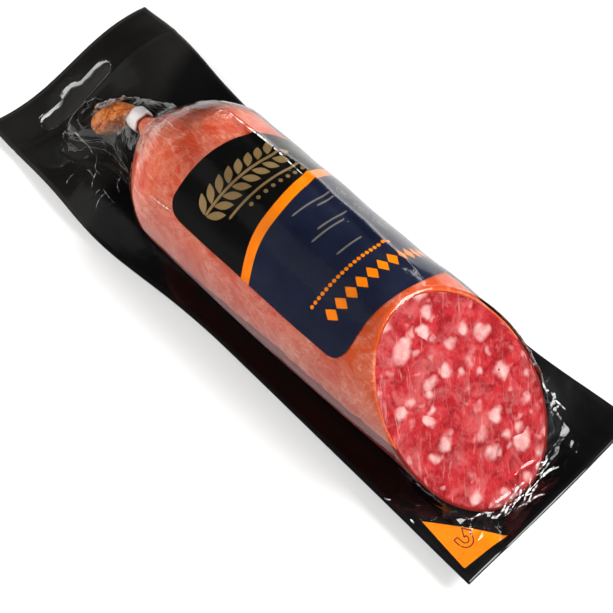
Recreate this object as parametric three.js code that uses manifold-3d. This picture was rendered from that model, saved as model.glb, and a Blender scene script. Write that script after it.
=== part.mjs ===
// A dry-cured sausage, cut across at a slant, in its vacuum pack: a black bottom web with a hang slot,
// a clear top film drawn down over the sausage, the meat, its casing with the gathered tail, and the clip.
// Millimetres, +Z up, +X from the hang slot to the cut end. The pack rests on the flat under the sausage.

import * as THREE from "three";
import { mergeVertices } from "three/addons/utils/BufferGeometryUtils.js";
import Module from "manifold-3d";

const wasm = await Module();
wasm.setup();

// ---------------------------------------------------------------------------------------------- sizes

// Sausage
const SAUSAGE_RADIUS = 26; // outside of the casing
const END_TAPER = 0.8; // how much smaller its radius is at the cut
const TAPER_START = 40; // the taper begins this far beyond the shoulder
const TAPER_END = 30; // and is over this far beyond the top of the cut
const TOP_LENGTH = 115; // along the top, from the neck to the cut
const SHOULDER_LENGTH = 33; // how far the rounded end reaches from the neck
const SHOULDER_CURVE = 2; // powers of the shoulder's outline: 2 and 0.5 would be an ellipse
const SHOULDER_TAPER = 1.15;
const NECK_RADIUS = 2.6;
const NECK_ROUNDING = 5; // between the neck and the shoulder
const CASING_WALL = 0.6;
const CUT_RUN = 1.02; // the cut moves this far along for each millimetre down
const BEND = 1.6; // how far the cut end swings to +Y
const BEND_START = 15; // beyond the shoulder
const BEND_REACH = 90; // over which it swings that far
const SLANT_START = 45; // from the shoulder to where its rings begin to lean into the cut
const REST_FLAT = 1.2; // how much the underside is pressed flat

// Tail of gathered casing beyond the clip
const TAIL_RADIUS = 4.1;
const TAIL_REACH = 12;
const TAIL_SWING = 8.5; // sideways, towards -Y
const TAIL_DROOP = 10.5;
const TAIL_FOLDS = 7;
const FOLD_DEPTH = 0.07; // share of the tail's radius

// Clip
const CLIP_WIDTH = 4.6;
const CLIP_WALL = 1.1;
const CLIP_TO_NECK = 0.5; // from the clip to where the shoulder begins
const CLIP_TO_TAIL = 0.8;
const CLIP_SEAM = 0.8; // between its two ends, underneath

// Pack
const PACK_WIDTH = 72; // at its two ends
const HEADER_LENGTH = 35.9; // from the tip of the tail to the hang end
const END_SEAL = 8.5; // from the lip of the cut to the other end
const SAUSAGE_OFFSET = -4.8; // the sausage lies off the middle, towards -Y
const FLANGE_HEIGHT = 8.4; // top of the bottom web beside the sausage, above the table
const HEADER_CLEARANCE = 1.4; // how near the table the wavy header comes
const HEADER_LIFT = 5.5; // how high the other side of the wave rises
const WAVE_PITCH = 94;
const WAVE_LOW_Y = -22;
const WAVE_REACH = 34; // the wave grows over this length, from the clip on
const WAVE_EASING = 0.3; // share of the wave lost again at the hang end
const END_DIP = 4.5; // the cut end sags this far in the middle
const END_DIP_REACH = 30;
const END_DIP_Y = 5;
const END_DIP_WIDTH = 26;
const SIDE_SAG = 4; // how far the -Y edge hangs down beside the shoulder
const SIDE_SAG_LENGTH = 28;
const SIDE_SAG_INSIDE = 13; // it begins this far inside the straight edge
const SIDE_SAG_OUTSIDE = 5; // and is full this far outside it
const SIDE_X = 11; // the sag and the bulge are greatest this far beyond the neck
const SIDE_BULGE = 2.5; // how far the -Y edge stands out beside the shoulder
const SIDE_BULGE_LENGTH = 30;
const SIDE_TRIM = 0.8; // how far it comes in again beside the full sausage
const SIDE_TRIM_REACH = 40;
const DRAWN_IN = 3.8; // how far the +Y edge is drawn in beside the sausage
const DRAWN_IN_LEAD = 15; // it begins this far before the tip of the tail
const DRAWN_IN_END = 32; // and goes back to nothing from this far before the lip of the cut
const LIP_ROUNDING = 4; // of the web, where it bends down under the sausage
const RAMP_SLOPE = 0.9; // of the web beyond the lip of the cut
const WEB_WALL = 0.5;
const FILM_WALL = 0.3;
const FILM_INSET = 1.5; // the film ends this far inside the web's edge
const FOOT_MARGIN = 1.8; // from the sausage to where the film meets the web
const FOOT_FLARE = 3.5; // how much farther out the film's foot lies beside the lip of the cut
const FLARE_START = 34; // before the lip
const FLARE_FULL = 16;
const TENT_FOOT = 12; // half the width of the film's tent over the tail
const TENT_ROUNDING = 4;
const TENT_TOP = 11; // how far the film stands off the axis where it leaves the shoulder for the tail
const TENT_BLEND = 3; // between the shoulder and the tent
const TENT_START = 8; // beyond the neck, where the tent begins to close on the tail
const TENT_END = 4; // past the clip, where it has
const TAIL_MARGIN = 0.8; // from the tail to the film over it
const FILM_FALL = 8; // the film comes down to the header over this length

// Hang slot
const SLOT_LENGTH = 32;
const SLOT_WIDTH = 7;
const SLOT_BUMP = 2.5; // the round middle stands out this far towards the hang end
const SLOT_BUMP_RADIUS = 5.5;
const SLOT_TO_END = 11.5;
const SLOT_Y = -5.8;

// Clearances
const GAP = 0.35; // between faces that touch
const FILM_GAP = 0.5; // under the film
const CUT_GAP = 1.4; // under the film where it spans the cut face

// Fineness of the solids
const RING_POINTS = 36;
const SHOULDER_STEPS = 11;
const BODY_SHARES = [0, 0.25, 0.5, 0.75, 1]; // rings between the shoulder and the cut
const WEB_COLUMNS = 28;
const LIP_REACH = 30; // closer rows of the web from this far before the lip of the cut
const ROUND_SHARE = 0.35; // share of the cut over which the film's rows are closest

// ------------------------------------------------------------------------------------ derived places

const CUT_END_RADIUS = SAUSAGE_RADIUS - END_TAPER;
const NECK_X = -TOP_LENGTH / 2;
const FULL_X = NECK_X + SHOULDER_LENGTH;
const CUT_TOP_X = NECK_X + TOP_LENGTH;
const CASING_FLOOR = WEB_WALL + GAP;
const AXIS_Z = CASING_FLOOR + SAUSAGE_RADIUS - REST_FLAT;
const CUT_TOP_Z = AXIS_Z + CUT_END_RADIUS;
const TIP_X = CUT_TOP_X + CUT_RUN * (CUT_TOP_Z - CASING_FLOOR);
const CLIP_X = NECK_X - CLIP_TO_NECK - CLIP_WIDTH;
const TAIL_START_X = CLIP_X - CLIP_TO_TAIL;
const TAIL_TIP_X = TAIL_START_X - TAIL_REACH;
const CUT_SLANT = Math.hypot(1, 1 / CUT_RUN); // height over the cut for each millimetre off its face
const HANG_END_X = TAIL_TIP_X - HEADER_LENGTH;
const CUT_END_X = TIP_X + END_SEAL;
const SLOT_X = HANG_END_X + SLOT_TO_END;
const FILM_FLAT_X = TAIL_TIP_X - TAIL_RADIUS - FILM_FALL; // from here the film lies on the header

// --------------------------------------------------------------------------------------------- maths

const clamp = THREE.MathUtils.clamp;
const lerp = THREE.MathUtils.lerp;
const bell = (x, middle, width) => Math.exp(-(((x - middle) / width) ** 2));

function smooth(from, to, x) {
  const t = clamp((x - from) / (to - from), 0, 1);
  return t * t * (3 - 2 * t);
}

function softMin(a, b, blend) {
  const h = Math.max(blend - Math.abs(a - b), 0) / blend;
  return Math.min(a, b) - (h * h * blend) / 4;
}

const softMax = (a, b, blend) => -softMin(-a, -b, blend);

// Places from one end to the other, the last one included.
const spread = (from, to, steps) =>
  Array.from({ length: steps + 1 }, (_, i) => lerp(from, to, i / steps));

// Points at even distances along a path of 2-D points.
function evenlyAlong(path, steps) {
  const lengths = [0];
  for (let i = 1; i < path.length; i++) lengths.push(lengths[i - 1] + path[i].distanceTo(path[i - 1]));
  return spread(0, lengths[lengths.length - 1], steps).map((s) => {
    const i = clamp(lengths.findIndex((l) => l >= s), 1, path.length - 1);
    const share = (s - lengths[i - 1]) / (lengths[i] - lengths[i - 1] || 1);
    return path[i - 1].clone().lerp(path[i], clamp(share, 0, 1));
  });
}

// ------------------------------------------------------------------------------- shape of the sausage

const axisY = (x) =>
  SAUSAGE_OFFSET + BEND * Math.max(0, (x - FULL_X - BEND_START) / BEND_REACH) ** 2;

// Radius at x, with every wall moved in by `inset`.
function bodyRadius(x, inset = 0) {
  const taper = smooth(FULL_X + TAPER_START, CUT_TOP_X + TAPER_END, x);
  const full = lerp(SAUSAGE_RADIUS, CUT_END_RADIUS, taper) - inset;
  const along = Math.max(0, (FULL_X - x) / (SHOULDER_LENGTH - inset));
  return full * Math.max(0, 1 - along ** SHOULDER_CURVE) ** SHOULDER_TAPER;
}

const outerRadius = (x) => softMax(bodyRadius(x), NECK_RADIUS, NECK_ROUNDING);
const cutX = (z) => CUT_TOP_X + CUT_RUN * (CUT_TOP_Z - z);
const cutHeight = (x) => CUT_TOP_Z - (x - CUT_TOP_X) / CUT_RUN;

// A point of the body, at an angle measured from the top towards +Y.
function bodyPoint(x, angle, radius, floor) {
  const z = Math.max(AXIS_Z + radius * Math.cos(angle), floor);
  return new THREE.Vector3(x, axisY(x) + radius * Math.sin(angle), z);
}

const ringAngles = spread(0, 2 * Math.PI, RING_POINTS).slice(0, -1);

// Ring of the body. At `share` 0 it stands square at START_X, and at 1 it lies in the slanted cut.
const START_X = FULL_X + SLANT_START;
function slantedRing(share, inset, floor) {
  return ringAngles.map((angle) => {
    let x = START_X;
    for (let pass = 0; pass < 6; pass++) {
      const point = bodyPoint(x, angle, bodyRadius(x, inset), floor);
      x = lerp(START_X, cutX(point.z), share);
    }
    return bodyPoint(x, angle, bodyRadius(x, inset), floor);
  });
}

const squareRing = (x, radius, floor) =>
  ringAngles.map((angle) => bodyPoint(x, angle, radius, floor));

// The tail's centre line, from the clip to its open end, and its rings with the gathered folds.
function tailCentre(t) {
  const x = TAIL_START_X - TAIL_REACH * t;
  const bent = Math.pow(t, 1.5);
  return new THREE.Vector3(x, SAUSAGE_OFFSET - TAIL_SWING * bent, AXIS_Z - TAIL_DROOP * bent);
}

function tailRing(t, radius) {
  const centre = tailCentre(t);
  const ahead = tailCentre(t + 0.01);
  const along = centre.clone().sub(ahead).normalize();
  const side = new THREE.Vector3(0, 0, 1).cross(along).normalize();
  const up = along.clone().cross(side);
  return ringAngles.map((angle) => {
    const reach = radius * (1 + FOLD_DEPTH * smooth(0, 0.4, t) * Math.cos(TAIL_FOLDS * angle));
    return centre
      .clone()
      .addScaledVector(side, reach * Math.sin(angle))
      .addScaledVector(up, reach * Math.cos(angle));
  });
}

// --------------------------------------------------------------------------------- shape of the pack

// Height of the bottom web's upper face where it lies beside the sausage.
function flangeHeight(x, y) {
  const header = smooth(TAIL_START_X, TAIL_START_X - WAVE_REACH, x);
  const easing = 1 - WAVE_EASING * smooth(SLOT_X + SLOT_WIDTH / 2, HANG_END_X, x);
  const low = HEADER_CLEARANCE - FLANGE_HEIGHT;
  const swing = Math.cos((2 * Math.PI * (y - WAVE_LOW_Y)) / WAVE_PITCH);
  const wave = lerp(HEADER_LIFT, low, (1 + swing) / 2);
  const dip = END_DIP * smooth(TIP_X - END_DIP_REACH, TIP_X + 3, x) * bell(y, END_DIP_Y, END_DIP_WIDTH);
  const outer = smooth(SIDE_SAG_INSIDE - PACK_WIDTH / 2, -SIDE_SAG_OUTSIDE - PACK_WIDTH / 2, y);
  const sag = SIDE_SAG * bell(x, NECK_X + SIDE_X, SIDE_SAG_LENGTH) * outer;
  return FLANGE_HEIGHT + header * easing * wave - dip - sag;
}

// Where the web cradles the sausage, and the ramp beyond the lip of the cut.
function troughHeight(x, y) {
  const radius = bodyRadius(x) + GAP;
  const side = y - axisY(x);
  const inside = Math.abs(side) < radius;
  const round = inside ? AXIS_Z - Math.sqrt(radius * radius - side * side) : AXIS_Z;
  const ramp = WEB_WALL + (x - TIP_X - 0.5) * RAMP_SLOPE;
  return Math.max(round, WEB_WALL, ramp);
}

function webHeight(x, y) {
  const flange = flangeHeight(x, y);
  const trough = troughHeight(x, y);
  return Math.max(WEB_WALL, softMin(flange, trough, LIP_ROUNDING));
}

// The web's two long edges. It is drawn in beside the sausage, and bulges near the tail on the -Y side.
function sideEdge(x, side) {
  const half = PACK_WIDTH / 2;
  const bulge = SIDE_BULGE * bell(x, NECK_X + SIDE_X, SIDE_BULGE_LENGTH);
  if (side < 0) return -(half + bulge - SIDE_TRIM * smooth(FULL_X, FULL_X + SIDE_TRIM_REACH, x));
  const drawn = smooth(TAIL_TIP_X - DRAWN_IN_LEAD, FULL_X - DRAWN_IN_LEAD, x) *
    (1 - smooth(TIP_X - DRAWN_IN_END, CUT_END_X, x));
  return half - DRAWN_IN * drawn;
}

// The film's core at x: a circle that it is drawn over, and how much of its height is left.
function filmCore(x) {
  const t = clamp((TAIL_START_X - x) / TAIL_REACH, 0, 1);
  const centre = x > TAIL_START_X ? new THREE.Vector3(x, axisY(x), AXIS_Z) : tailCentre(t);
  const steepness = Math.hypot(1, (1.5 * TAIL_DROOP * Math.sqrt(t)) / TAIL_REACH);
  const tail = TAIL_RADIUS * (1 + FOLD_DEPTH) * steepness + TAIL_MARGIN;
  const tent = lerp(TENT_TOP, tail, smooth(NECK_X + TENT_START, TAIL_START_X - TENT_END, x));
  const tented = x < FULL_X ? softMax(bodyRadius(x), tent, TENT_BLEND) : bodyRadius(x);
  const height = smooth(FILM_FLAT_X, FILM_FLAT_X + FILM_FALL, x);
  return { centre, radius: Math.max(tented, bodyRadius(x)), height };
}

function footHalfWidth(x, radius) {
  const drop = AXIS_Z - FLANGE_HEIGHT;
  const chord = Math.sqrt(Math.max(0, radius * radius - drop * drop));
  const flare = FOOT_FLARE * smooth(TIP_X - FLARE_START, TIP_X - FLARE_FULL, x);
  return softMax(chord + FOOT_MARGIN, TENT_FOOT, TENT_ROUNDING) + flare;
}

// One row of the film at x, from the -Y edge to the +Y edge, lying `lift` off what it covers.
const FLAT_STEPS = 4;
const WALL_STEPS = 6;
const TOP_STEPS = 8;
const CROWN = Math.PI / 5; // half the angle that the top steps span
function filmRow(x, lift) {
  const core = filmCore(x);
  const { y: middleY, z: middleZ } = core.centre;
  const radius = core.radius + lift;
  const cut = cutHeight(x) + (lift - FILM_GAP + CUT_GAP) * CUT_SLANT;
  const ground = (y) => webHeight(x, y) + lift;
  const lowered = (y, z) => Math.max(ground(y), lerp(ground(y), z, core.height));
  const arcZ = (across) => middleZ + Math.sqrt(Math.max(0, radius * radius - across * across));

  // The crown runs between two corners: where the slanted cut meets the side, or CROWN from the top.
  const below = clamp(cut - middleZ, FLANGE_HEIGHT - AXIS_Z, radius);
  const corner = Math.max(Math.acos(below / radius), CROWN);
  const cornerAcross = radius * Math.sin(corner);
  const cornerZ = Math.min(middleZ + radius * Math.cos(corner), cut);

  // Each side leaves the round at a tangent and runs straight to its foot on the web.
  const half = footHalfWidth(x, core.radius) + 0.5 * lift;
  const sides = [-1, 1].map((side) => {
    const footZ = ground(middleY + side * half);
    const drop = footZ - middleZ;
    const leave = Math.atan2(half, drop) - Math.acos(Math.min(1, radius / Math.hypot(half, drop)));
    return { side, footZ, leave };
  });

  const wall = ({ side, footZ, leave }) => {
    const path = [new THREE.Vector2(half, footZ)];
    for (const angle of spread(leave, corner, 24)) {
      const point = new THREE.Vector2(radius * Math.sin(angle), middleZ + radius * Math.cos(angle));
      if (leave > corner && point.y < cut) path.push(point);
    }
    path.push(new THREE.Vector2(cornerAcross, cornerZ));
    return evenlyAlong(path, WALL_STEPS).map((p) => {
      const y = middleY + side * p.x;
      return new THREE.Vector2(y, lowered(y, p.y));
    });
  };
  const left = wall(sides[0]);
  const right = wall(sides[1]).reverse();
  const top = spread(-1, 1, TOP_STEPS).slice(1, -1).map((s) => {
    const across = (cornerAcross * Math.sin(s * CROWN)) / Math.sin(CROWN);
    return new THREE.Vector2(middleY + across, lowered(middleY + across, Math.min(arcZ(across), cut)));
  });
  const flat = (from, to) => spread(from, to, FLAT_STEPS).map((y) => new THREE.Vector2(y, ground(y)));
  const edges = [-1, 1].map((side) => sideEdge(x, side) - side * FILM_INSET);
  const row = [
    ...flat(edges[0], left[0].x).slice(0, -1),
    ...left,
    ...top,
    ...right,
    ...flat(right[right.length - 1].x, edges[1]).slice(1),
  ];

  // Towards the hang end the steps spread out evenly across the pack.
  const even = smooth(FILM_FLAT_X, HANG_END_X, x);
  return row.map((p, j) => {
    const y = lerp(p.x, lerp(edges[0], edges[1], j / (row.length - 1)), even);
    return new THREE.Vector3(x, y, even > 0 ? ground(y) : p.y);
  });
}

// ----------------------------------------------------------------------------------- solids from grids

function meshFrom(points, faces) {
  const geometry = new THREE.BufferGeometry();
  const flat = points.flatMap((p) => [p.x, p.y, p.z]);
  geometry.setAttribute("position", new THREE.Float32BufferAttribute(flat, 3));
  geometry.setIndex(faces.flat());
  return geometry;
}

// A closed body between two grids of points, rows along +X and columns towards +Y, `upper` outside.
function slabBetween(upper, lower) {
  const rows = upper.length;
  const cols = upper[0].length;
  const count = rows * cols;
  const at = (i, j) => i * cols + j;
  const faces = [];
  for (let i = 0; i + 1 < rows; i++)
    for (let j = 0; j + 1 < cols; j++) {
      faces.push([at(i, j), at(i + 1, j), at(i + 1, j + 1)]);
      faces.push([at(i, j), at(i + 1, j + 1), at(i, j + 1)]);
      faces.push([count + at(i, j), count + at(i + 1, j + 1), count + at(i + 1, j)]);
      faces.push([count + at(i, j), count + at(i, j + 1), count + at(i + 1, j + 1)]);
    }
  const wall = (a, b) => {
    faces.push([a, b, b + count]);
    faces.push([a, b + count, a + count]);
  };
  for (let i = 0; i + 1 < rows; i++) {
    wall(at(i + 1, 0), at(i, 0));
    wall(at(i, cols - 1), at(i + 1, cols - 1));
  }
  for (let j = 0; j + 1 < cols; j++) {
    wall(at(0, j), at(0, j + 1));
    wall(at(rows - 1, j + 1), at(rows - 1, j));
  }
  return meshFrom([...upper.flat(), ...lower.flat()], faces);
}

// A closed body through rings of points that run from the top towards +Y, closed at both ends.
function loftThrough(rings) {
  const count = rings[0].length;
  const points = rings.flat();
  const faces = [];
  for (let i = 0; i + 1 < rings.length; i++)
    for (let j = 0; j < count; j++) {
      const a = i * count + j;
      const b = i * count + ((j + 1) % count);
      faces.push([a, b + count, b]);
      faces.push([a, a + count, b + count]);
    }
  const middle = (ring) =>
    ring.reduce((sum, p) => sum.add(p), new THREE.Vector3()).divideScalar(ring.length);
  const last = (rings.length - 1) * count;
  const first = points.length;
  points.push(middle(rings[0]), middle(rings[rings.length - 1]));
  for (let j = 0; j < count; j++) {
    const k = (j + 1) % count;
    faces.push([j, k, first]);
    faces.push([last + k, last + j, first + 1]);
  }
  return meshFrom(points, faces);
}

// A geometry as a solid for cutting.
function solid(geometry) {
  const bare = geometry.clone();
  bare.deleteAttribute("normal");
  bare.deleteAttribute("uv");
  const merged = mergeVertices(bare, 1e-4);
  const vertProperties = new Float32Array(merged.attributes.position.array);
  const triVerts = new Uint32Array(merged.index.array);
  return new wasm.Manifold(new wasm.Mesh({ numProp: 3, vertProperties, triVerts }));
}

function geometryOf(body) {
  const mesh = body.getMesh();
  const geometry = new THREE.BufferGeometry();
  geometry.setAttribute("position", new THREE.Float32BufferAttribute(mesh.vertProperties, 3));
  geometry.setIndex(new THREE.BufferAttribute(mesh.triVerts, 1));
  return geometry;
}

function named(name, geometry, color, roughness, metalness = 0) {
  geometry.computeVertexNormals();
  const material = new THREE.MeshStandardMaterial({ color, roughness, metalness });
  const mesh = new THREE.Mesh(geometry, material);
  mesh.name = name;
  return mesh;
}

// ------------------------------------------------------------------------------------------ the parts

// The hang slot: long, with round ends, and a round middle that stands out towards the hang end.
function slotCutter() {
  const end = SLOT_WIDTH / 2;
  const straight = SLOT_LENGTH / 2 - end;
  const bumpX = SLOT_BUMP_RADIUS - end - SLOT_BUMP;
  const bumpHalf = Math.acos(clamp((end + bumpX) / SLOT_BUMP_RADIUS, -1, 1));
  const outline = new THREE.Shape();
  outline.moveTo(end, -straight);
  outline.absarc(0, straight, end, 0, Math.PI, false);
  outline.absarc(bumpX, 0, SLOT_BUMP_RADIUS, Math.PI - bumpHalf, Math.PI + bumpHalf, false);
  outline.absarc(0, -straight, end, Math.PI, 2 * Math.PI, false);
  const height = 80;
  const cutter = new THREE.ExtrudeGeometry(outline, {
    depth: height,
    bevelEnabled: false,
    curveSegments: 8,
  });
  cutter.translate(SLOT_X, SLOT_Y, -height / 2);
  return solid(cutter);
}

function baseWeb() {
  const stations = [
    ...spread(HANG_END_X, TAIL_TIP_X, 7),
    ...spread(TAIL_TIP_X, FULL_X, 13).slice(1),
    ...spread(FULL_X, TIP_X - LIP_REACH, 3).slice(1),
    ...spread(TIP_X - LIP_REACH, TIP_X, 5).slice(1),
    ...spread(TIP_X, CUT_END_X, 4).slice(1),
  ];
  const face = (drop) =>
    stations.map((x) =>
      spread(sideEdge(x, -1), sideEdge(x, 1), WEB_COLUMNS).map(
        (y) => new THREE.Vector3(x, y, webHeight(x, y) - drop),
      ),
    );
  return geometryOf(solid(slabBetween(face(0), face(WEB_WALL))).subtract(slotCutter()));
}

function topFilm() {
  const cornerX = cutX(CUT_TOP_Z + FILM_GAP - CUT_GAP * CUT_SLANT);
  const roundX = lerp(cornerX, TIP_X, ROUND_SHARE);
  const stations = [
    ...spread(HANG_END_X + FILM_INSET, FILM_FLAT_X, 6),
    ...spread(FILM_FLAT_X, TAIL_START_X, 9).slice(1),
    ...spread(TAIL_START_X, FULL_X, 11).slice(1),
    ...spread(FULL_X, cornerX, 3).slice(1),
    ...spread(cornerX, roundX, 9).slice(1),
    ...spread(roundX, TIP_X, 8).slice(1),
    ...spread(TIP_X, CUT_END_X - FILM_INSET, 3).slice(1),
  ];
  const face = (lift) => stations.map((x) => filmRow(x, lift));
  return geometryOf(solid(slabBetween(face(FILM_GAP + FILM_WALL), face(FILM_GAP))).subtract(slotCutter()));
}

function casing() {
  const neckXs = spread(TAIL_START_X, NECK_X, 3);
  const shoulder = spread(0, Math.PI / 2, SHOULDER_STEPS).slice(1);
  const atAngle = (angle, inset) => FULL_X - (SHOULDER_LENGTH - inset) * Math.cos(angle);
  const wallFloor = CASING_FLOOR + CASING_WALL;
  const rings = [
    tailRing(1.04, TAIL_RADIUS * 0.7),
    ...[1, 0.8, 0.6, 0.4, 0.2].map((t) => tailRing(t, lerp(NECK_RADIUS, TAIL_RADIUS, smooth(0, 0.5, t)))),
    ...neckXs.map((x) => squareRing(x, NECK_RADIUS, CASING_FLOOR)),
    ...shoulder.map((angle) => {
      const x = atAngle(angle, 0);
      return squareRing(x, outerRadius(x), CASING_FLOOR);
    }),
    ...BODY_SHARES.map((share) => slantedRing(share, 0, CASING_FLOOR)),
    ...[...BODY_SHARES].reverse().map((share) => slantedRing(share, CASING_WALL, wallFloor)),
    ...[...shoulder].reverse().map((angle) => {
      const x = atAngle(angle, CASING_WALL);
      return squareRing(x, bodyRadius(x, CASING_WALL), wallFloor);
    }),
  ];
  return loftThrough(rings);
}

function meat() {
  const inset = CASING_WALL + GAP;
  const floor = CASING_FLOOR + inset;
  const rings = [
    ...spread(0, Math.PI / 2, SHOULDER_STEPS).slice(1).map((angle) => {
      const x = FULL_X - (SHOULDER_LENGTH - inset) * Math.cos(angle);
      return squareRing(x, bodyRadius(x, inset), floor);
    }),
    ...BODY_SHARES.map((share) => slantedRing(share, inset, floor)),
  ];
  return loftThrough(rings);
}

// A strip of aluminium bent round the neck, its ends meeting underneath.
function clip() {
  const inner = NECK_RADIUS + GAP;
  const outer = inner + CLIP_WALL;
  const opening = Math.asin(CLIP_SEAM / 2 / inner);
  const outline = new THREE.Shape();
  const from = -Math.PI / 2 + opening;
  const to = (3 * Math.PI) / 2 - opening;
  outline.absarc(0, 0, outer, from, to, false);
  outline.absarc(0, 0, inner, to, from, true);
  const band = new THREE.ExtrudeGeometry(outline, {
    depth: CLIP_WIDTH,
    bevelEnabled: false,
    curveSegments: 16,
  });
  band.rotateX(Math.PI / 2);
  band.rotateZ(Math.PI / 2);
  band.translate(CLIP_X, SAUSAGE_OFFSET, AXIS_Z);
  return band;
}

const sausagePack = new THREE.Group();
sausagePack.add(
  named("base_web", baseWeb(), "#0f0f10", 0.25),
  named("top_film", topFilm(), "#e9e4e0", 0.1),
  named("casing", casing(), "#c8543c", 0.45),
  named("meat", meat(), "#b2342f", 0.5),
  named("clip", clip(), "#d9dadb", 0.35, 1),
);

// The frame's origin is under the middle of the pack, on the table.
const box = new THREE.Box3().setFromObject(sausagePack);
const middle = box.getCenter(new THREE.Vector3());
sausagePack.position.set(-middle.x, -middle.y, -box.min.z);

export default sausagePack;
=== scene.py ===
"""A dry-cured sausage, cut across at a slant, in its vacuum pack.

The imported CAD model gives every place. Shapes are worked out in millimetres, in the CAD part's own
coordinates: x runs from the hang slot to the cut end, y across the pack and z up from the table.
"""

import math

import bpy
import numpy as np
from mathutils import Matrix, Vector


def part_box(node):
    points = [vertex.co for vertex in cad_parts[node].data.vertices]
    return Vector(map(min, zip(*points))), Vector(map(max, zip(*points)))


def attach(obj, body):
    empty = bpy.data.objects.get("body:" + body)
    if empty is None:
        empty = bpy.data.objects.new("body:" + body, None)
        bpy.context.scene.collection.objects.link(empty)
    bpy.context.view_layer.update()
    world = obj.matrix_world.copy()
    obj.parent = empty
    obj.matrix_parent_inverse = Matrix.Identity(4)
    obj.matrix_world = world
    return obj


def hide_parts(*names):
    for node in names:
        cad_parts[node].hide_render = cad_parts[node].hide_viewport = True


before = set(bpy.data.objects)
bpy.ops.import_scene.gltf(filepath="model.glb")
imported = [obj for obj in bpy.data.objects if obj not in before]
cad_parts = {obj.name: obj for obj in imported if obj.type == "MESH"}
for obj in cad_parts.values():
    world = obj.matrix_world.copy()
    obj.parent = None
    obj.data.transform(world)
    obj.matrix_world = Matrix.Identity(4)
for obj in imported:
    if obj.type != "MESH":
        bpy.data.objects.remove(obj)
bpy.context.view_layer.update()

# ---------------- driving sizes

MM = 0.001

SAUSAGE_RADIUS = 26.0
END_TAPER = 0.8
TAPER_START = 40.0
TAPER_END = 30.0
TOP_LENGTH = 115.0
SHOULDER_LENGTH = 33.0
SHOULDER_CURVE = 2.0
SHOULDER_TAPER = 1.15
NECK_RADIUS = 2.6
NECK_ROUNDING = 5.0
CASING_WALL = 0.6
CUT_RUN = 1.02
BEND = 1.6
BEND_START = 15.0
BEND_REACH = 90.0
SLANT_START = 45.0
REST_FLAT = 1.2

TAIL_RADIUS = 4.1
TAIL_REACH = 12.0
TAIL_SWING = 8.5
TAIL_DROOP = 10.5
TAIL_FOLD = 1.07

CLIP_WIDTH = 4.6
CLIP_WALL = 1.1
CLIP_SEAM = 0.8
CLIP_TO_NECK = 0.5
CLIP_TO_TAIL = 0.8

PACK_WIDTH = 72.0
HEADER_LENGTH = 35.9
END_SEAL = 8.5
SAUSAGE_OFFSET = -4.8
FLANGE_HEIGHT = 8.4
HEADER_CLEARANCE = 1.4
HEADER_LIFT = 5.5
WAVE_PITCH = 94.0
WAVE_LOW_Y = -22.0
WAVE_REACH = 34.0
WAVE_EASING = 0.3
END_DIP = 4.5
END_DIP_REACH = 30.0
END_DIP_Y = 5.0
END_DIP_WIDTH = 26.0
SIDE_SAG = 4.0
SIDE_SAG_LENGTH = 28.0
SIDE_SAG_INSIDE = 13.0
SIDE_SAG_OUTSIDE = 5.0
SIDE_X = 11.0
SIDE_BULGE = 2.5
SIDE_BULGE_LENGTH = 30.0
SIDE_TRIM = 0.8
SIDE_TRIM_REACH = 40.0
DRAWN_IN = 3.8
DRAWN_IN_LEAD = 15.0
DRAWN_IN_END = 32.0
LIP_ROUNDING = 4.0
RAMP_SLOPE = 0.9
WEB_WALL = 0.5
FILM_INSET = 1.5
FOOT_MARGIN = 1.8
FOOT_FLARE = 3.5
FLARE_START = 34.0
FLARE_FULL = 16.0
TENT_FOOT = 12.0
TENT_ROUNDING = 4.0
TENT_TOP = 11.0
TENT_BLEND = 3.0
TENT_START = 8.0
TENT_END = 4.0
TAIL_MARGIN = 0.8
FILM_FALL = 8.0

SLOT_LENGTH = 32.0
SLOT_WIDTH = 7.0
SLOT_BUMP = 2.5
SLOT_BUMP_RADIUS = 5.5
SLOT_TO_END = 11.5
SLOT_Y = -5.8
FLAP_GAP = 0.25
FLAP_BEND = 13.0  # degrees down from the header

GAP = 0.35  # between pieces that rest on each other
MEAT_GAP = 0.05  # between the casing and the meat
FILM_LIFT = 0.7  # of the clear film off the sausage
SEAL_LIFT = 0.16  # of the film off the web that it is sealed to
CUT_LIFT = 0.75  # of the film over the cut face

# How far the skin's and the film's unevenness stands off
SWELL_HEIGHT = 0.42
FINE_SWELL_HEIGHT = 0.24
FACET_DEPTH = 0.75  # of the flattened strip along the label's +Y side
TAIL_FOLD_HEIGHT = 1.2  # loose folds about the tail
PULL_HEIGHT = 0.26  # long pulls from the clip over the shoulder
FINE_PULL_HEIGHT = 0.16
LIP_CRINKLE_HEIGHT = 0.8  # round the lip of the cut
OVER_CUT_HEIGHT = 0.22  # faint folds over the cut face
CREASE_HEIGHT = 1.15  # the sharp fold beside the crown
SEAL_RIDGE_HEIGHT = 0.35  # across the header

# Ink on the underside of the film. Places are x along the sausage and s round it from its crown to +Y.
PRINT_LIFT = 0.42
INK_STEP = 0.1  # ink that lies over other ink stands this much nearer the film
SEAL_PRINT_LIFT = 0.08
SEAL_INK_STEP = 0.04
LABEL_START_X = -17.2
LABEL_END_X = 55.2
LABEL_LEFT_S = -24.4
LABEL_RIGHT_S = 34.0
LABEL_CORNER = 6.0
STRIPE_X = 9.2  # where the orange stripe crosses the crown
STRIPE_SLOPE = -0.215
STRIPE_WIDTH = 3.4
CREASE_S = 12.4  # of the film's sharp fold
GLINT_LIFT = 0.14  # of the painted highlights on the film's creases, off the film

# ---------------- derived places

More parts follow.
